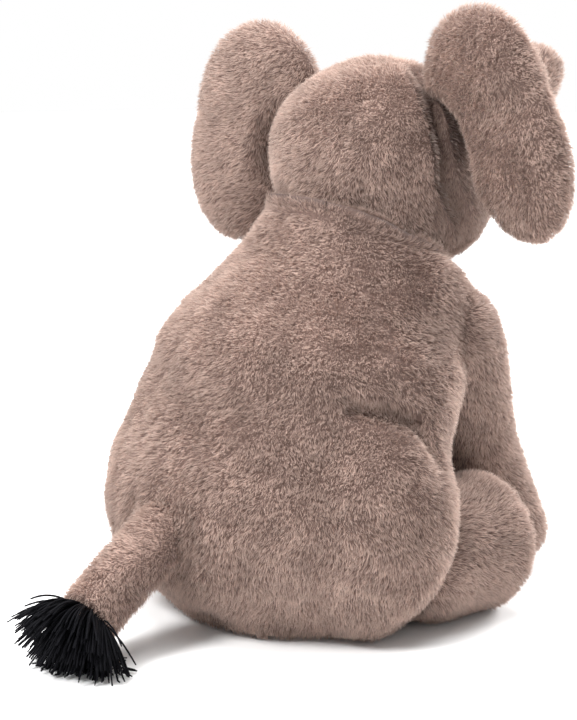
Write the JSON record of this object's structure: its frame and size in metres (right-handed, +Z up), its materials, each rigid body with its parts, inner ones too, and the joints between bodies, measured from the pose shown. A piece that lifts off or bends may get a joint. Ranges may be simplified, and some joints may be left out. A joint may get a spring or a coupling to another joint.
{
  "type": "stuffed elephant",
  "caption": "Seated plush elephant with large pillow ears, a curled trunk, stuffed limbs and a tail ending in a burst of black yarn.",
  "frame": {"origin": "on the floor under the middle of the seat, at the centre of the flat underside", "axes": "+Z up, -Y the way the elephant faces, +X to its left side"},
  "size_m": [0.2361, 0.3386, 0.2725],
  "materials": {
    "plush": "matte",
    "sole_cloth": "matte",
    "thread": "matte",
    "fibre_fill": "matte",
    "pellets": "matte",
    "eye_bead": "gloss",
    "washer": "satin",
    "yarn": "matte"
  },
  "bodies": {
    "torso": {"torso_cover": "plush", "torso_filling": "fibre_fill", "seat_pellet_bag": "pellets", "back_closing_stitch": "thread"},
    "neck": {"neck_thread": "thread"},
    "head": {"head_cover": "plush", "head_filling": "fibre_fill", "eye_left": "eye_bead", "eye_right": "eye_bead", "eye_washer_left": "washer", "eye_washer_right": "washer"},
    "trunk_root": {"trunk_root_cover": "plush", "trunk_root_filling": "fibre_fill"},
    "trunk_tip": {"trunk_tip_cover": "plush", "trunk_tip_filling": "fibre_fill"},
    "ear_left": {"ear_left_back_panel": "plush", "ear_left_front_panel": "plush", "ear_left_wadding": "fibre_fill"},
    "ear_right": {"ear_right_back_panel": "plush", "ear_right_front_panel": "plush", "ear_right_wadding": "fibre_fill"},
    "arm_left": {"arm_left_cover": "plush", "arm_left_filling": "fibre_fill", "arm_left_sole": "sole_cloth"},
    "arm_right": {"arm_right_cover": "plush", "arm_right_filling": "fibre_fill", "arm_right_sole": "sole_cloth"},
    "leg_left": {"leg_left_cover": "plush", "leg_left_filling": "fibre_fill", "leg_left_sole": "sole_cloth"},
    "leg_right": {"leg_right_cover": "plush", "leg_right_filling": "fibre_fill", "leg_right_sole": "sole_cloth"},
    "tail": {"tail_cover": "plush", "tail_filling": "fibre_fill", "tail_binding": "yarn", "tail_tassel": "yarn"}
  },
  "joints": [
    {"name": "head_turn", "type": "hinge", "parent": "torso", "child": "neck", "pos_m": [0, -0.046, 0.18232], "axis": [0, -0.5, 0.866], "range_deg": [-20, 20], "stiffness_Nm_per_rad": 1},
    {"name": "head_nod", "type": "hinge", "parent": "neck", "child": "head", "pos_m": [0, -0.046, 0.18232], "axis": [0.9925, 0, -0.1219], "range_deg": [-10, 7], "stiffness_Nm_per_rad": 1.6},
    {"name": "trunk_lift", "type": "hinge", "parent": "head", "child": "trunk_root", "pos_m": [-0.00016, -0.094, 0.18101], "axis": [-0.9925, 0, 0.1219], "range_deg": [-12, 14], "stiffness_Nm_per_rad": 0.3},
    {"name": "trunk_curl", "type": "hinge", "parent": "trunk_root", "child": "trunk_tip", "pos_m": [0.00116, -0.13457, 0.1918], "axis": [-0.9925, 0, 0.1219], "range_deg": [-30, 15], "stiffness_Nm_per_rad": 0.2},
    {"name": "ear_left_flap", "type": "hinge", "parent": "head", "child": "ear_left", "pos_m": [0.05431, -0.052, 0.20203], "axis": [-0.2162, 0, 0.9763], "range_deg": [-35, 25], "stiffness_Nm_per_rad": 0.2},
    {"name": "ear_right_flap", "type": "hinge", "parent": "head", "child": "ear_right", "pos_m": [-0.04793, -0.052, 0.21458], "axis": [-0.446, 0, -0.895], "range_deg": [-35, 25], "stiffness_Nm_per_rad": 0.2},
    {"name": "arm_left_swing", "type": "hinge", "parent": "torso", "child": "arm_left", "pos_m": [0.037, -0.056, 0.12], "axis": [-1, 0, 0], "range_deg": [0, 50], "stiffness_Nm_per_rad": 0.3},
    {"name": "arm_right_swing", "type": "hinge", "parent": "torso", "child": "arm_right", "pos_m": [-0.037, -0.056, 0.12], "axis": [-1, 0, 0], "range_deg": [0, 50], "stiffness_Nm_per_rad": 0.3},
    {"name": "leg_left_lift", "type": "hinge", "parent": "torso", "child": "leg_left", "pos_m": [0.062, -0.02, 0.032], "axis": [-1, 0, 0], "range_deg": [0, 20], "stiffness_Nm_per_rad": 0.5},
    {"name": "leg_right_lift", "type": "hinge", "parent": "torso", "child": "leg_right", "pos_m": [-0.062, -0.02, 0.032], "axis": [-1, 0, 0], "range_deg": [0, 20], "stiffness_Nm_per_rad": 0.5},
    {"name": "tail_swing", "type": "hinge", "parent": "torso", "child": "tail", "pos_m": [0, 0.08, 0.05], "axis": [0, 0, 1], "range_deg": [-30, 30], "stiffness_Nm_per_rad": 0.1}
  ]
}
